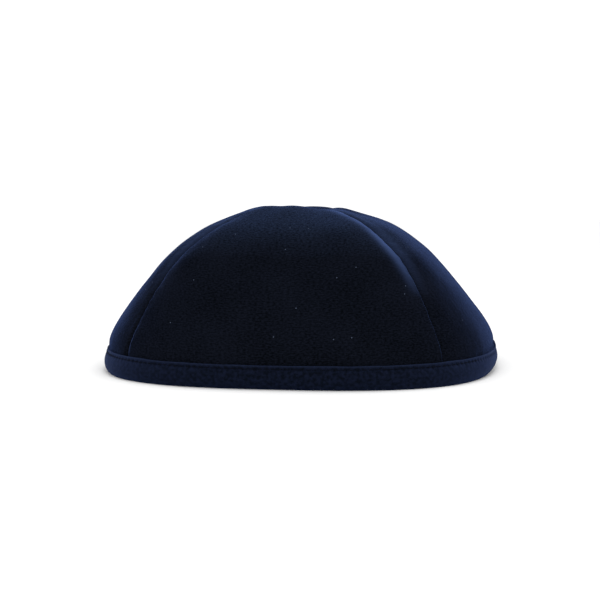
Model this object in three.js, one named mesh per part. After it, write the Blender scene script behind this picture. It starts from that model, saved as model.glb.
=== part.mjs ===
// A four-panel kippah: four curved velvet gores sewn together into a shallow crown, with
// the rim wrapped in a folded fabric binding. It stands on its rim, as it would on a table.
//
// Millimetres, +Z up. The origin is the middle of the rim on the surface that it stands on.
// An azimuth is measured round the cap from -Y, the front, towards +X. A rise is a place
// along the crown's profile, from 0 at the rim to 1 at the apex.

import * as THREE from 'three';
import { mergeVertices } from 'three/addons/utils/BufferGeometryUtils.js';

const degrees = THREE.MathUtils.degToRad;

// The four panels, by the azimuth that the middle of each one faces.
const PANELS = [
  { name: 'panel_front', facing: 0 },
  { name: 'panel_right', facing: 90 },
  { name: 'panel_back', facing: 180 },
  { name: 'panel_left', facing: 270 },
];
const HALF_PANEL = degrees(360 / PANELS.length / 2);

// Cloth and gaps.
const PANEL_CLOTH = 1.8;
const BINDING_CLOTH = 0.9;
const GAP = 0.3;

// The crown's sections, from the rim to the apex. Each is a rounded square round the axis:
// reach is from the axis to the middle of a panel, corner is how many times farther the
// seams lie, and puff is how far the middle of a panel swells out.
const CROWN = [
  { height: 0.0, reach: 88.6, corner: 1.107, puff: 0.0 },
  { height: 14.5, reach: 88.2, corner: 1.076, puff: 0.3 },
  { height: 28.5, reach: 79.0, corner: 1.11, puff: 0.6 },
  { height: 41.3, reach: 68.3, corner: 1.162, puff: 0.8 },
  { height: 52.5, reach: 57.5, corner: 1.215, puff: 1.0 },
  { height: 61.6, reach: 46.1, corner: 1.243, puff: 1.0 },
  { height: 68.2, reach: 33.4, corner: 1.32, puff: 0.9 },
  { height: 73.2, reach: 20.0, corner: 1.34, puff: 0.7 },
  { height: 72.3, reach: 10.0, corner: 1.32, puff: 0.4 },
  { height: 71.8, reach: 0.0, corner: 1.25, puff: 0.0 },
];

// The low folds and dents of the upper crown: a lift is outwards, and the widths are the
// distances at which it has died away to a third.
const FOLDS = [
  { azimuth: -12, rise: 0.74, azimuthWidth: 14, riseWidth: 0.1, lift: 0.65 },
  { azimuth: 24, rise: 0.76, azimuthWidth: 10, riseWidth: 0.1, lift: -0.55 },
  { azimuth: -38, rise: 0.78, azimuthWidth: 12, riseWidth: 0.08, lift: 1.35 },
  { azimuth: 45, rise: 0.6, azimuthWidth: 12, riseWidth: 0.16, lift: -0.45 },
  { azimuth: 76, rise: 0.75, azimuthWidth: 18, riseWidth: 0.08, lift: -2.2 },
  { azimuth: 110, rise: 0.62, azimuthWidth: 30, riseWidth: 0.07, lift: 0.3 },
  { azimuth: 120, rise: 0.76, azimuthWidth: 20, riseWidth: 0.07, lift: -2.5 },
];

// Each panel rolls down into its seams.
const SEAM_DIP = 0.8;
const SEAM_DIP_WIDTH = 2.0;

// The binding's closed section, outside first: out is the distance outside the panels'
// outer face, and the channel between the two legs holds the panels' lower edges.
const BINDING_INSIDE = -(PANEL_CLOTH + GAP);
const BINDING = [
  { out: GAP, height: 9.4 },
  { out: 0.7, height: 10.0 },
  { out: 1.15, height: 9.2 },
  { out: 1.5, height: 7.2 },
  { out: 1.6, height: 5.2 },
  { out: 1.35, height: 2.8 },
  { out: 0.65, height: 1.0 },
  { out: -0.4, height: 0.0 },
  { out: -2.0, height: 0.0 },
  { out: -2.75, height: 0.8 },
  { out: BINDING_INSIDE - BINDING_CLOTH, height: 2.2 },
  { out: BINDING_INSIDE - BINDING_CLOTH, height: 9.4 },
  { out: BINDING_INSIDE, height: 9.4 },
  { out: BINDING_INSIDE, height: 1.6 },
  { out: GAP, height: 1.6 },
];
const PANEL_FOOT = 2.4;

// How finely the cloth is divided.
const PANEL_COLUMNS = 24;
const PANEL_ROWS = 16;
const BINDING_STEPS = 88;
const TIP_REACH = 0.3;

const velvet = new THREE.MeshStandardMaterial({
  name: 'velvet', color: 0x10131f, roughness: 0.95, metalness: 0,
});
const twill = new THREE.MeshStandardMaterial({
  name: 'twill', color: 0x1a2133, roughness: 0.8, metalness: 0,
});

// The crown table at any rise, as a smooth curve through its rows.
function crownAt(rise) {
  const place = THREE.MathUtils.clamp(rise, 0, 1) * (CROWN.length - 1);
  const below = Math.min(Math.floor(place), CROWN.length - 2);
  const t = place - below;
  const row = {};
  for (const column of Object.keys(CROWN[0])) {
    const start = CROWN[below][column];
    const end = CROWN[below + 1][column];
    const before = below > 0 ? CROWN[below - 1][column] : 2 * start - end;
    const after = below + 2 < CROWN.length ? CROWN[below + 2][column] : 2 * end - start;
    const leave = (end - before) / 2;
    const arrive = (after - start) / 2;
    row[column] = start + leave * t
      + (3 * (end - start) - 2 * leave - arrive) * t ** 2
      + (2 * (start - end) + leave + arrive) * t ** 3;
  }
  return row;
}

// The angle from the middle of the nearest panel, between the seams at either side.
function fromPanelMiddle(azimuth) {
  return THREE.MathUtils.euclideanModulo(azimuth + HALF_PANEL, 2 * HALF_PANEL) - HALF_PANEL;
}

// The distance from the axis to the rounded-square section of one row.
function sectionReach(row, azimuth) {
  const angle = fromPanelMiddle(azimuth);
  const power = 1 / (0.5 - Math.log2(row.corner));
  const sum = Math.abs(Math.cos(angle)) ** power + Math.abs(Math.sin(angle)) ** power;
  return row.reach * sum ** (-1 / power);
}

function foldLift(azimuth, rise) {
  return FOLDS.reduce((total, fold) => {
    const turn = THREE.MathUtils.euclideanModulo(
      azimuth - degrees(fold.azimuth) + Math.PI, 2 * Math.PI) - Math.PI;
    const across = turn / degrees(fold.azimuthWidth);
    const along = (rise - fold.rise) / fold.riseWidth;
    return total + fold.lift * Math.exp(-(across ** 2) - along ** 2);
  }, 0);
}

function seamDip(reach, azimuth) {
  const distance = reach * Math.sin(HALF_PANEL - Math.abs(fromPanelMiddle(azimuth)));
  return SEAM_DIP * Math.exp(-((distance / SEAM_DIP_WIDTH) ** 2));
}

// A point of the crown, moved out from the plain outer surface along its normal.
function crownPoint(azimuth, rise, out) {
  const step = 0.001;
  const row = crownAt(rise);
  const lower = crownAt(rise - step);
  const upper = crownAt(rise + step);
  const slope = new THREE.Vector2(
    sectionReach(upper, azimuth) - sectionReach(lower, azimuth),
    upper.height - lower.height,
  ).normalize();
  const shift = out + row.puff * Math.cos(2 * fromPanelMiddle(azimuth))
    + foldLift(azimuth, rise);
  const reach = sectionReach(row, azimuth) + slope.y * shift;
  const height = row.height - slope.x * shift;
  return new THREE.Vector3(reach * Math.sin(azimuth), -reach * Math.cos(azimuth), height);
}

// The rise at which the lower crown comes to a height, by halving.
function riseAt(height) {
  let low = 0;
  let high = 0.5;
  for (let turn = 0; turn < 30; turn += 1) {
    const middle = (low + high) / 2;
    if (crownAt(middle).height < height) low = middle;
    else high = middle;
  }
  return (low + high) / 2;
}

// The rise near the apex at which the panel's middle comes within a reach of the axis.
function riseAtReach(reach) {
  let low = 0.5;
  let high = 1;
  for (let turn = 0; turn < 30; turn += 1) {
    const middle = (low + high) / 2;
    if (crownAt(middle).reach > reach) low = middle;
    else high = middle;
  }
  return (low + high) / 2;
}

function closedGeometry(points, triangles) {
  const geometry = new THREE.BufferGeometry();
  geometry.setAttribute('position', new THREE.Float32BufferAttribute(
    points.flatMap((point) => point.toArray()), 3));
  geometry.setIndex(triangles);
  return mergeVertices(geometry, 1e-5);
}

// One gore: an outer and an inner face over the same grid, closed along the foot, the two
// seam edges and the tip. The columns crowd towards the seams, where the cloth rolls down.
function panelGeometry(facing) {
  const points = [];
  const foot = riseAt(PANEL_FOOT);
  const tip = riseAtReach(TIP_REACH);
  for (const inside of [false, true]) {
    for (let row = 0; row <= PANEL_ROWS; row += 1) {
      const rise = THREE.MathUtils.lerp(foot, tip, row / PANEL_ROWS);
      const corner = sectionReach(crownAt(rise), HALF_PANEL);
      const edge = HALF_PANEL - Math.asin(GAP / 2 / corner);
      for (let column = 0; column <= PANEL_COLUMNS; column += 1) {
        const across = Math.sin(Math.PI * (column / PANEL_COLUMNS - 0.5));
        const azimuth = facing + edge * across;
        const reach = sectionReach(crownAt(rise), azimuth);
        const out = inside ? -PANEL_CLOTH : -seamDip(reach, azimuth);
        points.push(crownPoint(azimuth, rise, out));
      }
    }
  }

  const width = PANEL_COLUMNS + 1;
  const layer = width * (PANEL_ROWS + 1);
  const index = (inside, row, column) => inside * layer + row * width + column;
  const triangles = [];
  const quad = (a, b, c, d) => triangles.push(a, b, c, a, c, d);
  for (let row = 0; row < PANEL_ROWS; row += 1) {
    for (let column = 0; column < PANEL_COLUMNS; column += 1) {
      quad(index(0, row, column), index(0, row, column + 1),
        index(0, row + 1, column + 1), index(0, row + 1, column));
      quad(index(1, row, column), index(1, row + 1, column),
        index(1, row + 1, column + 1), index(1, row, column + 1));
    }
    quad(index(0, row, 0), index(0, row + 1, 0), index(1, row + 1, 0), index(1, row, 0));
    quad(index(0, row, PANEL_COLUMNS), index(1, row, PANEL_COLUMNS),
      index(1, row + 1, PANEL_COLUMNS), index(0, row + 1, PANEL_COLUMNS));
  }
  for (let column = 0; column < PANEL_COLUMNS; column += 1) {
    quad(index(0, 0, column), index(1, 0, column),
      index(1, 0, column + 1), index(0, 0, column + 1));
    quad(index(0, PANEL_ROWS, column), index(0, PANEL_ROWS, column + 1),
      index(1, PANEL_ROWS, column + 1), index(1, PANEL_ROWS, column));
  }
  return closedGeometry(points, triangles);
}

// The binding: its section carried once round the rim, level with the table below.
function bindingGeometry() {
  const points = [];
  const triangles = [];
  const count = BINDING.length;
  for (let step = 0; step < BINDING_STEPS; step += 1) {
    const azimuth = 2 * Math.PI * step / BINDING_STEPS;
    const next = (step + 1) % BINDING_STEPS;
    BINDING.forEach(({ out, height }, corner) => {
      const wall = crownPoint(azimuth, riseAt(height), 0);
      const reach = Math.hypot(wall.x, wall.y) + out;
      points.push(new THREE.Vector3(
        reach * Math.sin(azimuth), -reach * Math.cos(azimuth), height));
      const following = (corner + 1) % count;
      const a = step * count + corner;
      const b = step * count + following;
      const c = next * count + following;
      const d = next * count + corner;
      triangles.push(a, b, c, a, c, d);
    });
  }
  return closedGeometry(points, triangles);
}

const kippah = new THREE.Group();
kippah.name = 'kippah';

for (const { name, facing } of PANELS) {
  const panel = new THREE.Mesh(panelGeometry(degrees(facing)), velvet);
  panel.name = name;
  kippah.add(panel);
}

const binding = new THREE.Mesh(bindingGeometry(), twill);
binding.name = 'rim_binding';
kippah.add(binding);

export default kippah;
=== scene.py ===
import math

import bpy
import numpy as np
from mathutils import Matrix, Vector, noise


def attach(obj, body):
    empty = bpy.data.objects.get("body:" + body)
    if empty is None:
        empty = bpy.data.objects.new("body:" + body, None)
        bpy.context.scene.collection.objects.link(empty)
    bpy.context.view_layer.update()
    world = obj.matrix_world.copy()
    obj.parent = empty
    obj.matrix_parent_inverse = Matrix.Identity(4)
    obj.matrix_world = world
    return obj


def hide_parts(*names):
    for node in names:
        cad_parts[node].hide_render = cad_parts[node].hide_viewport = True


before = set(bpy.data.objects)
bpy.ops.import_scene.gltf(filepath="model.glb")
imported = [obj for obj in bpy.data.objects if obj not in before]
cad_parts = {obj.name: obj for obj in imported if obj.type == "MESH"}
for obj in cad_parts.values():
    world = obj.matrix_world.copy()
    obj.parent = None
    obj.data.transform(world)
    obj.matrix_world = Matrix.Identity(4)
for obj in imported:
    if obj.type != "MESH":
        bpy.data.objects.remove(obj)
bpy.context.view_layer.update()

# ---------------------------------------------------------------------------------------
# The four gores of the crown.
# Each is cut from short-pile cotton velvet, stiffened by the woven backing that shows on
# its inside, and is sewn to its neighbours face to face. Its edges roll down into the
# seams, and the seam allowances are pressed open underneath.
# ---------------------------------------------------------------------------------------

MM = 0.001
GORE_FACINGS = {"panel_front": 0, "panel_right": 90, "panel_back": 180, "panel_left": 270}
HALF_GORE = math.radians(45)

# The crown's sections in millimetres, rim to apex: each is a rounded square whose corners,
# at the seams, lie `corner` times as far out as the middle of a gore.
CROWN_COLUMNS = ("height", "reach", "corner", "puff")
CROWN = np.array([
    (0.0, 88.6, 1.107, 0.0),
    (14.5, 88.2, 1.076, 0.3),
    (28.5, 79.0, 1.11, 0.6),
    (41.3, 68.3, 1.162, 0.8),
    (52.5, 57.5, 1.215, 1.0),
    (61.6, 46.1, 1.243, 1.0),
    (68.2, 33.4, 1.32, 0.9),
    (73.2, 20.0, 1.34, 0.7),
    (72.3, 10.0, 1.32, 0.4),
    (71.8, 0.0, 1.25, 0.0),
])
FOLD_COLUMNS = ("azimuth", "rise", "azimuth_width", "rise_width", "lift")
FOLDS = [
    (-12, 0.74, 14, 0.10, 0.65),
    (24, 0.76, 10, 0.10, -0.55),
    (-38, 0.78, 12, 0.08, 1.35),
    (45, 0.60, 12, 0.16, -0.45),
    (76, 0.75, 18, 0.08, -2.2),
    (110, 0.62, 30, 0.07, 0.3),
    (120, 0.76, 20, 0.07, -2.5),
]

VELVET_THICK = 1.8
GORE_FOOT = 2.4
GORE_TIP_REACH = 0.3
GORE_COLUMNS = 120
GORE_ROWS = 200
SEAM_HALF_GAP = 0.02
SEAM_ROLL = 2.6
SEAM_DEPTH = 0.9
PILE = 0.45
SHOULDER_LOW = 0.3
SHOULDER_HIGH = 1.4
SHOULDER_WIDTH = 5.5
ALLOWANCE_WIDTH = 6.0
ALLOWANCE_THICK = 0.7


def crown_at(rise):
    """The crown's table at any rise from 0 to 1, as a smooth curve through its rows."""
    place = np.clip(rise, 0, 1) * (len(CROWN) - 1)
    below = np.minimum(place.astype(int), len(CROWN) - 2)
    ends = [2 * CROWN[0] - CROWN[1]], [2 * CROWN[-1] - CROWN[-2]]
    rows = np.concatenate([ends[0], CROWN, ends[1]])
    before, start, end, after = (rows[below + step] for step in range(4))
    t = (place - below)[..., None]
    leave, arrive = (end - before) / 2, (after - start) / 2
    found = (start + leave * t + (3 * (end - start) - 2 * leave - arrive) * t ** 2
             + (2 * (start - end) + leave + arrive) * t ** 3)
    return dict(zip(CROWN_COLUMNS, np.moveaxis(found, -1, 0)))


def from_gore_middle(azimuth):
    return (azimuth + HALF_GORE) % (2 * HALF_GORE) - HALF_GORE


def section_reach(row, azimuth):
    angle = from_gore_middle(azimuth)
    power = 1 / (0.5 - np.log2(row["corner"]))
    return row["reach"] * (abs(np.cos(angle)) ** power + abs(np.sin(angle)) ** power) ** (-1 / power)


def fold_lift(azimuth, rise):
    total = 0
    for numbers in FOLDS:
        fold = dict(zip(FOLD_COLUMNS, numbers))
        turn = (azimuth - math.radians(fold["azimuth"]) + math.pi) % (2 * math.pi) - math.pi
        across = turn / math.radians(fold["azimuth_width"])
        along = (rise - fold["rise"]) / fold["rise_width"]
        total = total + fold["lift"] * np.exp(-across ** 2 - along ** 2)
    return total


def crown_point(azimuth, rise, out):
    """Points of the crown, moved out from its plain surface along the normal."""
    step = 0.001
    row = crown_at(rise)
    lower, upper = crown_at(rise - step), crown_at(rise + step)
    outward = section_reach(upper, azimuth) - section_reach(lower, azimuth)
    upward = upper["height"] - lower["height"]
    length = np.hypot(outward, upward)
    shift = out + row["puff"] * np.cos(2 * from_gore_middle(azimuth)) + fold_lift(azimuth, rise)
    reach = section_reach(row, azimuth) + upward / length * shift
    height = row["height"] - outward / length * shift
    return np.stack([reach * np.sin(azimuth), -reach * np.cos(azimuth), height], -1)


def rise_where(column, value, low, high):
    """The rise at which one column of the crown's table takes a value."""
    rises = np.linspace(low, high, 2001)
    return float(rises[abs(crown_at(rises)[column] - value).argmin()])


def cloth_noise(points, size):
    """Smooth noise from -1 to 1 over an array of points in millimetres."""
    flat = np.asarray(points, float).reshape(-1, 3) / size
    values = [noise.noise(Vector(place)) for place in flat]
    return np.array(values).reshape(np.shape(points)[:-1])


def seam_distance(azimuth, rise):
    reach = section_reach(crown_at(rise), azimuth)
    return reach * np.sin(HALF_GORE - abs(from_gore_middle(azimuth)))


def shoulder_dip(azimuth, rise):
    """How far a gore curves down towards its seams, which is more on the upper crown."""
    share = np.clip((rise - 0.15) / 0.45, 0, 1)
    depth = SHOULDER_LOW + (SHOULDER_HIGH - SHOULDER_LOW) * share ** 2 * (3 - 2 * share)
    depth = depth * np.clip((crown_at(rise)["height"] - 10) / 4, 0, 1)
    return depth * np.exp(-(seam_distance(azimuth, rise) / SHOULDER_WIDTH) ** 1.6)


def rim_flare(azimuth):
    """The rim leans out a little more on the +X side."""
    return 0.8 * np.exp(-((azimuth - math.radians(88)) / math.radians(26)) ** 2)


def gore_relief(azimuth, rise):
    """What the sewing does to a gore's outer face: rolled edges, puckers and soft waves."""
    seam = seam_distance(azimuth, rise)
    plain = crown_point(azimuth, rise, 0)
    rolled = np.clip(1 - seam / SEAM_ROLL, 0, 1)
    roll = -SEAM_DEPTH * (1 - np.sqrt(1 - rolled ** 2))
    pucker = 0.30 * cloth_noise(plain, 3.2) * np.exp(-(seam / 4.5) ** 2)
    wave = 0.45 * cloth_noise(plain + 50, 26.0) + 0.12 * cloth_noise(plain + 90, 9.0)
    gather = 0.25 * cloth_noise(plain * (1, 1, 0.25), 5.0) * np.exp(-(plain[..., 2] - 9) / 5)
    free = np.clip(seam / 2.0, 0, 1)
    gather = np.where(plain[..., 2] > 9, gather, 0)
    pile = PILE * np.clip((plain[..., 2] - 10) / 4, 0, 1)
    pinch = -0.2 * np.exp(-((plain[..., 2] - 10.6) / 0.9) ** 2)
    eased = rim_flare(azimuth) * np.exp(-((plain[..., 2] - 7) / 6) ** 2)
    return pile + pinch + eased + roll + pucker + free * (wave + gather) - shoulder_dip(azimuth, rise)


def grid_faces(rows, columns, first=0, turned=False):
    """Quads over a grid of points, row by row."""
    row, column = np.meshgrid(np.arange(rows - 1), np.arange(columns - 1), indexing="ij")
    a = first + (row * columns + column).ravel()
    quads = np.stack([a, a + 1, a + columns + 1, a + columns], -1)
    return quads[:, ::-1] if turned else quads


def mesh_piece(name, points, faces, uv=None):
    """A smooth mesh object from points in millimetres, with an optional map in millimetres."""
    mesh = bpy.data.meshes.new(name)
    mesh.from_pydata((np.asarray(points) * MM).tolist(), [], np.asarray(faces).tolist())
    mesh.shade_smooth()
    if uv is not None:
        corners = np.zeros(len(mesh.loops), int)
        mesh.loops.foreach_get("vertex_index", corners)
        layer = mesh.uv_layers.new(name="cloth_mm")
        layer.uv.foreach_set("vector", np.asarray(uv, np.float32)[corners].ravel())
    piece = bpy.data.objects.new(name, mesh)
    bpy.context.scene.collection.objects.link(piece)
    return piece


def gore_piece(name, facing):
    foot = rise_where("height", GORE_FOOT, 0, 0.2)
    tip = rise_where("reach", GORE_TIP_REACH, 0.9, 1)
    rise = np.linspace(foot, tip, GORE_ROWS)[:, None] * np.ones(GORE_COLUMNS)
    corner = section_reach(crown_at(rise), HALF_GORE)
    edge = HALF_GORE - np.arcsin(SEAM_HALF_GAP / corner)
    across = np.sin(math.pi * (np.linspace(0, 1, GORE_COLUMNS) - 0.5))
    azimuth = math.radians(facing) + edge * across
    outer = crown_point(azimuth, rise, gore_relief(azimuth, rise))

    seam = seam_distance(azimuth, rise)
    height = crown_at(rise)["height"]
    allowance = ALLOWANCE_THICK * np.clip((ALLOWANCE_WIDTH - seam) / 0.5, 0, 1)
    allowance = allowance * np.clip((height - 11) / 3, 0, 1) * (1 - np.exp(-(seam / 0.5) ** 2))
    inner = crown_point(azimuth, rise, -VELVET_THICK - allowance - shoulder_dip(azimuth, rise))

    layer = GORE_ROWS * GORE_COLUMNS
    index = np.arange(layer).reshape(GORE_ROWS, GORE_COLUMNS)
    rim = np.concatenate([index[0, :-1], index[:-1, -1], index[-1, :0:-1], index[:0:-1, 0]])
    walls = np.stack([rim, rim + layer, np.roll(rim, -1) + layer, np.roll(rim, -1)], -1)
    outer_faces = grid_faces(GORE_ROWS, GORE_COLUMNS)
    inner_faces = grid_faces(GORE_ROWS, GORE_COLUMNS, layer, turned=True)
    run = np.cumsum(np.linalg.norm(np.diff(outer, axis=0, prepend=outer[:1]), axis=-1), axis=0)
    reach = section_reach(crown_at(rise), azimuth)
    uv = np.stack([reach * (azimuth - math.radians(facing)), run], -1).reshape(-1, 2)
    piece = mesh_piece(name, np.concatenate([outer.reshape(-1, 3), inner.reshape(-1, 3)]),
                       np.concatenate([outer_faces, inner_faces, walls]), np.tile(uv, (2, 1)))
    # Painted highlight: a mask for a lighter navy along the rolled seam edges. It is stronger on each
    # gore's +X edge, near the front-right seam and on the upper crown, where the light catches them.
    painted_highlight = np.exp(-((seam - 2.0) / 3.2) ** 2) * np.clip((height - 36) / 22, 0, 1)
    painted_highlight = painted_highlight * np.where(across > 0, 1.0, 0.25)
    painted_highlight = painted_highlight * (0.25 + 0.75 * np.exp(-((azimuth - HALF_GORE) / 0.5) ** 2))
    mark = piece.data.attributes.new("seam_highlight_mask", "FLOAT", "POINT")
    mark.data.foreach_set("value", np.tile(painted_highlight.ravel(), 2).astype(np.float32))
    kinds = np.zeros(len(piece.data.polygons), int)
    kinds[len(outer_faces):len(outer_faces) + len(inner_faces)] = 1
    piece.data.polygons.foreach_set("material_index", kinds)
    return piece


def linear(colour):
    """An sRGB hex value as linear RGBA."""
    parts = [int(colour[place:place + 2], 16) / 255 for place in (1, 3, 5)]
    return [x / 12.92 if x <= 0.04045 else ((x + 0.055) / 1.055) ** 2.4 for x in parts] + [1]


def add_node(material, kind, settings=None, links=None):
    """Adds a node, sets its sockets or properties, and links other nodes' outputs to it."""
    tree = material.node_tree
    node = tree.nodes.new("ShaderNode" + kind)
    for key, value in (settings or {}).items():
        if isinstance(key, int) or key in node.inputs:
            node.inputs[key].default_value = value
        else:
            setattr(node, key, value)
    for key, output in (links or {}).items():
        tree.links.new(output, node.inputs[key])
    return node


def new_material(name):
    material = bpy.data.materials.new(name)
    material.use_nodes = True
    material.node_tree.nodes.clear()
    return material


def cotton_velvet():
    """Cut-pile cotton velvet. Its upright pile swallows light that meets it head on and
    glows navy where it is seen aslant; pressed and worn patches shift its depth. Painted
    light: faces that turn upwards get a lighter navy, and the rolled seam edges a painted
    highlight."""
    stroke_length, stroke_width = 1.3, 0.65
    patch_size = 26.0
    m = new_material("cotton_velvet")
    place = add_node(m, "UVMap", {"uv_map": "cloth_mm"}).outputs["UV"]
    combed = add_node(m, "Mapping", {"Scale": (1 / stroke_length, 1 / stroke_width, 1)},
                      {"Vector": place})
    strokes = add_node(m, "TexNoise", {"Scale": 1.0, "Detail": 3.0, "Roughness": 0.7},
                       {"Vector": combed.outputs[0]})
    tufts = add_node(m, "TexNoise", {"Scale": 1 / 2.8, "Detail": 2.0}, {"Vector": place})
    pile = add_node(m, "Math", {"operation": "MULTIPLY_ADD", 1: 0.6},
                    {0: tufts.outputs[0], 2: strokes.outputs[0]})
    patches = add_node(m, "TexNoise", {"Scale": 1 / patch_size, "Detail": 3.0, "Roughness": 0.55},
                       {"Vector": place})
    worn = add_node(m, "MapRange", {"From Min": 0.3, "From Max": 0.7, "To Max": 0.35},
                    {0: patches.outputs[0]})
    grain = add_node(m, "MapRange", {"From Min": 0.38, "From Max": 0.62, "To Max": 0.8},
                     {0: strokes.outputs[0]})
    shade = add_node(m, "Math", {"operation": "ADD"}, {0: worn.outputs[0], 1: grain.outputs[0]})
    colour = add_node(m, "Mix", {"data_type": "RGBA", 6: linear("#030405"), 7: linear("#11141d")},
                      {0: shade.outputs[0]})
    fleck = add_node(m, "TexVoronoi", {"voronoi_dimensions": "2D", "Scale": 1 / 8.0}, {"Vector": place})
    rare = add_node(m, "SeparateColor", links={0: fleck.outputs["Color"]})
    chosen = add_node(m, "Math", {"operation": "GREATER_THAN", 1: 0.90}, {0: rare.outputs[0]})
    near = add_node(m, "Math", {"operation": "LESS_THAN", 1: 0.03}, {0: fleck.outputs["Distance"]})
    lint = add_node(m, "Math", {"operation": "MULTIPLY"}, {0: chosen.outputs[0], 1: near.outputs[0]})
    specked = add_node(m, "Mix", {"data_type": "RGBA", 7: linear("#464e60")},
                       {0: lint.outputs[0], 6: colour.outputs[2]})
    # Painted light: faces that turn upwards get a lighter navy (#232e43), broken up by the grain,
    # standing in for the light from above.
    facing = add_node(m, "SeparateXYZ", links={0: add_node(m, "NewGeometry").outputs["Normal"]})
    painted_top_light = add_node(m, "MapRange", {"From Min": 0.72, "From Max": 1.0}, {0: facing.outputs["Z"]})
    painted_top_light_grained = add_node(m, "Math", {"operation": "MULTIPLY"}, {0: painted_top_light.outputs[0], 1: grain.outputs[0]})
    with_painted_top_light = add_node(m, "Mix", {"data_type": "RGBA", 7: linear("#232e43")},
                      {0: painted_top_light_grained.outputs[0], 6: specked.outputs[2]})
    # Painted highlight: the rolled seam edges turn a lighter navy (#344367) by the mask stored on the
    # gores.
    painted_highlight = add_node(m, "Attribute", {"attribute_name": "seam_highlight_mask"})
    rolled = add_node(m, "Mix", {"data_type": "RGBA", 7: linear("#344367")},
                      {0: painted_highlight.outputs["Fac"], 6: with_painted_top_light.outputs[2]})
    relief = add_node(m, "Bump", {"Strength": 0.8, "Distance": 0.3 * MM},
                      {"Height": pile.outputs[0]})
    shader = add_node(m, "BsdfPrincipled", {
        "Roughness": 0.95, "IOR": 1.5, "Specular IOR Level": 0.0,
        "Sheen Weight": 0.52, "Sheen Roughness": 0.28, "Sheen Tint": linear("#5f78bc"),
    }, {"Base Color": rolled.outputs[2], "Normal": relief.outputs[0]})
    add_node(m, "OutputMaterial", links={"Surface": shader.outputs[0]})
    return m


def woven_backing():
    """The velvet's plain-woven cotton back: flat, matte and a little greyer than its pile."""
    thread_spacing = 0.6
    m = new_material("woven_backing")
    place = add_node(m, "UVMap", {"uv_map": "cloth_mm"}).outputs["UV"]
    axes = add_node(m, "SeparateXYZ", links={0: place})
    waves = [add_node(m, "Math", {"operation": "SINE"}, {0: add_node(
        m, "Math", {"operation": "MULTIPLY", 1: math.pi / thread_spacing},
        {0: axes.outputs[axis]}).outputs[0]}) for axis in ("X", "Y")]
    weave = add_node(m, "Math", {"operation": "MULTIPLY"},
                     {0: waves[0].outputs[0], 1: waves[1].outputs[0]})
    slub = add_node(m, "TexNoise", {"Scale": 1 / 2.5, "Detail": 3.0}, {"Vector": place})
    colour = add_node(m, "Mix", {"data_type": "RGBA", 6: linear("#10131c"), 7: linear("#1d2231")},
                      {0: slub.outputs[0]})
    relief = add_node(m, "Bump", {"Strength": 0.4, "Distance": 0.15 * MM},
                      {"Height": weave.outputs[0]})
    shader = add_node(m, "BsdfPrincipled", {
        "Roughness": 0.9, "IOR": 1.5, "Specular IOR Level": 0.1,
    }, {"Base Color": colour.outputs[2], "Normal": relief.outputs[0]})
    add_node(m, "OutputMaterial", links={"Surface": shader.outputs[0]})
    return m


velvet = cotton_velvet()
backing = woven_backing()
for gore_name, facing in GORE_FACINGS.items():
    gore = gore_piece("velvet_" + gore_name, facing)
    gore.data.materials.append(velvet)
    gore.data.materials.append(backing)
    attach(gore, "root")
    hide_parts(gore_name)

# ---------------------------------------------------------------------------------------
# The binding round the rim.
# A strip of navy twill cut on the bias, its raw edges turned under, folded over the gores'
# lower edges and sewn through once. Its lower fold is what the cap stands on.
# ---------------------------------------------------------------------------------------

BINDING_STEPS = 1500
BINDING_FINE = 3
STITCH_HEIGHT = 8.6
BINDING_COLUMNS = ("out", "height")
BINDING = np.array([
    (0.15, 9.3),
    (0.35, 9.95),
    (0.8, 10.0),
    (1.05, 9.1),
    (1.5, 7.0),
    (1.8, 5.0),
    (1.5, 2.7),
    (0.65, 1.0),
    (-0.4, 0.0),
    (-1.2, 0.0),
    (-2.0, 0.0),
    (-2.75, 0.8),
    (-3.0, 2.2),
    (-3.0, 5.5),
    (-3.0, 9.0),
    (-2.6, 9.5),
    (-2.1, 9.0),
    (-2.1, 5.0),
    (-2.1, 1.6),
    (0.2, 1.6),
    (0.2, 5.0),
])


def smooth_loop(points, fine):
    """A closed line of points, made finer by a smooth curve through them."""
    before, start = np.roll(points, 1, 0), points
    end, after = np.roll(points, -1, 0), np.roll(points, -2, 0)
    parts = []
    for t in np.arange(fine) / fine:
        leave, arrive = (end - before) / 2, (after - start) / 2
        parts.append(start + leave * t + (3 * (end - start) - 2 * leave - arrive) * t ** 2
                     + (2 * (start - end) + leave + arrive) * t ** 3)
    return np.stack(parts, 1).reshape(-1, 2)


def rim_reach(azimuth, height):
    """How far the gores' plain outer face lies from the axis near the rim."""
    rises = np.linspace(0, 0.2, 400)
    rise = np.interp(height, crown_at(rises)["height"], rises)
    plain = crown_point(azimuth, rise, 0)
    return np.hypot(plain[..., 0], plain[..., 1])


section = smooth_loop(BINDING, BINDING_FINE)
section[:, 1] = np.maximum(section[:, 1], 0)
turn = np.linspace(0, 2 * math.pi, BINDING_STEPS, endpoint=False)
rim_line = rim_reach(turn, np.full(BINDING_STEPS, 4.5)) + 1.5
rim_xy = np.stack([rim_line * np.sin(turn), -rim_line * np.cos(turn)], -1)
rim_run = np.concatenate([[0], np.cumsum(np.linalg.norm(np.diff(rim_xy, axis=0), axis=1))])
rim_length = rim_run[-1] + np.linalg.norm(rim_xy[0] - rim_xy[-1])
STITCH_COUNT = round(rim_length / 2.85)
stitch_pitch = rim_length / STITCH_COUNT


def binding_relief(run, out, height):
    """The stitch line's groove and needle holes, and the slight swell between them."""
    outside = np.clip((out - 0.3) / 0.5, 0, 1)
    inside = np.clip((-2.5 - out) / 0.4, 0, 1)
    from_line = height - STITCH_HEIGHT
    along = (run / stitch_pitch) % 1 - 0.5
    groove = 0.28 * np.exp(-(from_line / 0.7) ** 2)
    hole = 0.45 * np.exp(-(from_line / 0.45) ** 2 - (along * stitch_pitch / 0.45) ** 2)
    return (inside - outside) * (groove + hole)


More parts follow.
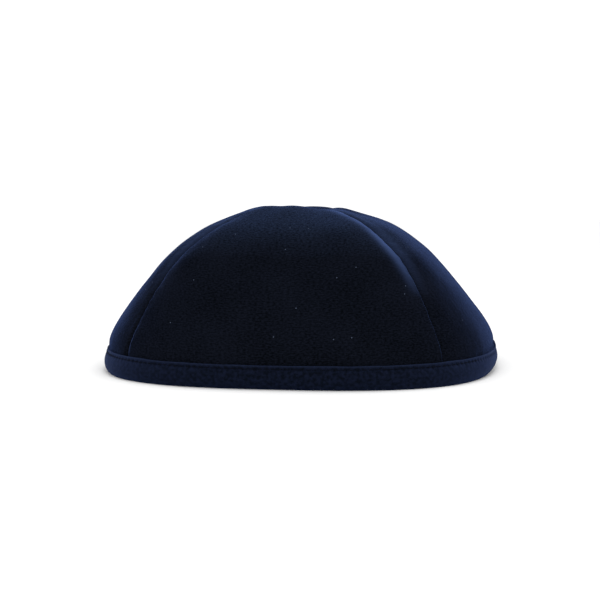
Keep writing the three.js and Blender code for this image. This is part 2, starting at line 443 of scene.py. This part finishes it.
azimuths, outs = np.meshgrid(turn, section[:, 0], indexing="ij")
heights = np.broadcast_to(section[:, 1], outs.shape)
runs = np.broadcast_to(rim_run[:, None], outs.shape)
ripple_at = np.stack([np.sin(azimuths) * 90, np.cos(azimuths) * 90, heights * 0.6], -1)
ripple = 0.10 * cloth_noise(ripple_at, 6.0) + 0.16 * cloth_noise(ripple_at + 40, 17.0)
leg = np.clip(abs(outs + 0.9) - 1.3, 0, 1)
edge_sway = 0.22 * cloth_noise(ripple_at * (1, 1, 0) + 70, 9.0) * np.clip((heights - 6) / 4, 0, 1)
flare = rim_flare(azimuths) * np.clip(heights / 4, 0, 1)
reach = (rim_reach(azimuths, heights) + outs + flare + binding_relief(runs, outs, heights)
         + np.sign(outs + 0.9) * leg * ripple)
binding_points = np.stack([reach * np.sin(azimuths), -reach * np.cos(azimuths),
                           heights + edge_sway], -1)
count = len(section)
step_index, corner_index = np.meshgrid(np.arange(BINDING_STEPS), np.arange(count), indexing="ij")
next_step, next_corner = (step_index + 1) % BINDING_STEPS, (corner_index + 1) % count
binding_faces = np.stack([step_index * count + corner_index, step_index * count + next_corner,
                          next_step * count + next_corner, next_step * count + corner_index],
                         -1).reshape(-1, 4)
section_run = np.concatenate([[0], np.cumsum(np.linalg.norm(np.diff(section, axis=0), axis=1))])
binding_uv = np.stack([runs, np.broadcast_to(section_run, outs.shape)], -1).reshape(-1, 2)


def cotton_twill():
    """Cotton-blend twill binding. Its fine diagonal ribs give a soft satin glow, and a painted
    highlight lifts the colour along its top fold, where the light catches it."""
    rib_pitch = 0.7
    m = new_material("cotton_twill")
    place = add_node(m, "UVMap", {"uv_map": "cloth_mm"}).outputs["UV"]
    axes = add_node(m, "SeparateXYZ", links={0: place})
    slant = add_node(m, "Math", {"operation": "ADD"}, {0: axes.outputs["X"], 1: axes.outputs["Y"]})
    turns = add_node(m, "Math", {"operation": "MULTIPLY", 1: 2 * math.pi / rib_pitch / 1.414},
                     {0: slant.outputs[0]})
    ribs = add_node(m, "Math", {"operation": "SINE"}, {0: turns.outputs[0]})
    slub = add_node(m, "TexNoise", {"Scale": 1 / 1.6, "Detail": 4.0}, {"Vector": place})
    height = add_node(m, "Math", {"operation": "MULTIPLY_ADD", 1: 0.35},
                      {0: ribs.outputs[0], 2: slub.outputs[0]})
    mottle = add_node(m, "MapRange", {"From Min": 0.38, "From Max": 0.62}, {0: slub.outputs[0]})
    colour = add_node(m, "Mix", {"data_type": "RGBA", 6: linear("#05080f"), 7: linear("#0e1322")},
                      {0: mottle.outputs[0]})
    # Painted highlight: from 9.1 to 9.9 mm up, the binding's top fold is lightened towards #20283e.
    upright = add_node(m, "SeparateXYZ", links={0: add_node(m, "TexCoord").outputs["Object"]})
    fold = add_node(m, "MapRange", {"From Min": 9.1 * MM, "From Max": 9.9 * MM, "To Max": 0.4},
                    {0: upright.outputs["Z"]})
    painted_fold_highlight = add_node(m, "Mix", {"data_type": "RGBA", 7: linear("#20283e")},
                      {0: fold.outputs[0], 6: colour.outputs[2]})
    relief = add_node(m, "Bump", {"Strength": 0.35, "Distance": 0.12 * MM},
                      {"Height": height.outputs[0]})
    shader = add_node(m, "BsdfPrincipled", {
        "Roughness": 0.75, "IOR": 1.5, "Specular IOR Level": 0.02,
        "Sheen Weight": 0.22, "Sheen Roughness": 0.5, "Sheen Tint": linear("#5474c4"),
    }, {"Base Color": painted_fold_highlight.outputs[2], "Normal": relief.outputs[0]})
    add_node(m, "OutputMaterial", links={"Surface": shader.outputs[0]})
    return m


binding = mesh_piece("twill_binding", binding_points.reshape(-1, 3), binding_faces, binding_uv)
binding.data.materials.append(cotton_twill())
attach(binding, "root")
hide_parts("rim_binding")

# ---------------------------------------------------------------------------------------
# The stitching through the binding.
# One row of lockstitch in navy polyester thread, near the binding's top edge. It shows as
# short dashes that dip between needle holes, on the outside and on the inside.
# ---------------------------------------------------------------------------------------

THREAD_THICK = 0.34
STITCH_SHARE = 0.74
STITCH_RINGS = 9
STITCH_SIDES = 8


def stitch_row(name, side_out, facing_out):
    points, faces = [], []
    for number in range(STITCH_COUNT):
        middle = (number + 1.0) * stitch_pitch
        along = np.linspace(-0.5, 0.5, STITCH_RINGS)
        run = (middle + along * STITCH_SHARE * stitch_pitch) % rim_length
        azimuth = np.interp(run, np.append(rim_run, rim_length), np.append(turn, 2 * math.pi))
        thick = THREAD_THICK / 2 * np.sqrt(np.clip(1 - (2 * along) ** 6, 0.02, 1))
        sunk = 0.22 * (2 * along) ** 4
        first = number * STITCH_RINGS * STITCH_SIDES
        for ring in range(STITCH_RINGS):
            angle = np.arange(STITCH_SIDES) * 2 * math.pi / STITCH_SIDES
            out = side_out + facing_out * (thick[ring] * np.cos(angle) - sunk[ring])
            up = STITCH_HEIGHT + thick[ring] * np.sin(angle)
            at = rim_reach(azimuth[ring], up) + out
            points.append(np.stack([at * np.sin(azimuth[ring]), -at * np.cos(azimuth[ring]), up], -1))
        rings = first + np.arange(STITCH_RINGS * STITCH_SIDES).reshape(STITCH_RINGS, STITCH_SIDES)
        following = np.roll(rings, -1, 1)
        quads = np.stack([rings[:-1], following[:-1], following[1:], rings[1:]], -1).reshape(-1, 4)
        faces += quads[:, ::-facing_out].tolist()
        faces += [rings[0][::facing_out].tolist()[::-1], rings[-1][::facing_out].tolist()]
    mesh = bpy.data.meshes.new(name)
    mesh.from_pydata((np.concatenate(points) * MM).tolist(), [], faces)
    mesh.shade_smooth()
    piece = bpy.data.objects.new(name, mesh)
    bpy.context.scene.collection.objects.link(piece)
    return piece


def polyester_thread():
    """Spun polyester sewing thread: a little smoother and lighter than the twill."""
    m = new_material("polyester_thread")
    place = add_node(m, "TexCoord").outputs["Object"]
    twist = add_node(m, "TexNoise", {"Scale": 1 / (0.4 * MM), "Detail": 2.0}, {"Vector": place})
    colour = add_node(m, "Mix", {"data_type": "RGBA", 6: linear("#05070c"), 7: linear("#0d101a")},
                      {0: twist.outputs[0]})
    shader = add_node(m, "BsdfPrincipled", {
        "Roughness": 0.7, "IOR": 1.5, "Specular IOR Level": 0.02,
    }, {"Base Color": colour.outputs[2]})
    add_node(m, "OutputMaterial", links={"Surface": shader.outputs[0]})
    return m


thread = polyester_thread()
for row_name, side_out, facing_out in (("stitches_outside", 0.98, 1), ("stitches_inside", -2.62, -1)):
    stitches = stitch_row(row_name, side_out, facing_out)
    stitches.data.materials.append(thread)
    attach(stitches, "root")

# ---------------------------------------------------------------------------------------
# The studio: a plain white floor that runs out of sight, an even white room, a broad soft
# light overhead, and the camera a little above the rim.
# ---------------------------------------------------------------------------------------

floor_mesh = bpy.data.meshes.new("floor")
FLOOR_HALF = 6.0
floor_mesh.from_pydata([(-FLOOR_HALF, -FLOOR_HALF, 0), (FLOOR_HALF, -FLOOR_HALF, 0),
                        (FLOOR_HALF, FLOOR_HALF, 0), (-FLOOR_HALF, FLOOR_HALF, 0)],
                       [], [(0, 1, 2, 3)])
floor = bpy.data.objects.new("floor", floor_mesh)
bpy.context.scene.collection.objects.link(floor)
paper = new_material("white_paper_sweep")
paper_shader = add_node(paper, "BsdfPrincipled", {
    "Base Color": linear("#f3f3f3"), "Roughness": 0.9, "Specular IOR Level": 0.1})
add_node(paper, "OutputMaterial", links={"Surface": paper_shader.outputs[0]})
floor_mesh.materials.append(paper)

world = bpy.data.worlds.new("white_room")
world.use_nodes = True
world.node_tree.nodes["Background"].inputs["Color"].default_value = (1, 1, 1, 1)
world.node_tree.nodes["Background"].inputs["Strength"].default_value = 1.13
bpy.context.scene.world = world


def soft_light(name, place, size, watts):
    lamp = bpy.data.lights.new(name, "AREA")
    lamp.shape = "DISK"
    lamp.size = size
    lamp.energy = watts
    light = bpy.data.objects.new(name, lamp)
    light.location = place
    light.rotation_euler = (Vector((0, 0, 0.04)) - Vector(place)).to_track_quat("-Z", "Y").to_euler()
    bpy.context.scene.collection.objects.link(light)


soft_light("overhead_softbox", (0.15, 0.2, 1.2), 0.9, 4.0)

CAMERA_AZIMUTH = math.radians(8.19)
CAMERA_ELEVATION = math.radians(4.65)
CAMERA_DISTANCE = 0.5551
AIM_ACROSS = -2.09 * MM
AIM_HEIGHT = 29.50 * MM
back = Vector((math.sin(CAMERA_AZIMUTH) * math.cos(CAMERA_ELEVATION),
               -math.cos(CAMERA_AZIMUTH) * math.cos(CAMERA_ELEVATION),
               math.sin(CAMERA_ELEVATION)))
across = Vector((math.cos(CAMERA_AZIMUTH), math.sin(CAMERA_AZIMUTH), 0))
camera = bpy.data.objects.new("camera", bpy.data.cameras.new("camera"))
camera.data.lens = 69.41
camera.data.sensor_width = 36
camera.location = across * AIM_ACROSS + Vector((0, 0, AIM_HEIGHT)) + back * CAMERA_DISTANCE
camera.rotation_euler = (-back).to_track_quat("-Z", "Y").to_euler()
bpy.context.scene.collection.objects.link(camera)
bpy.context.scene.camera = camera
bpy.context.scene.view_settings.view_transform = "Standard"
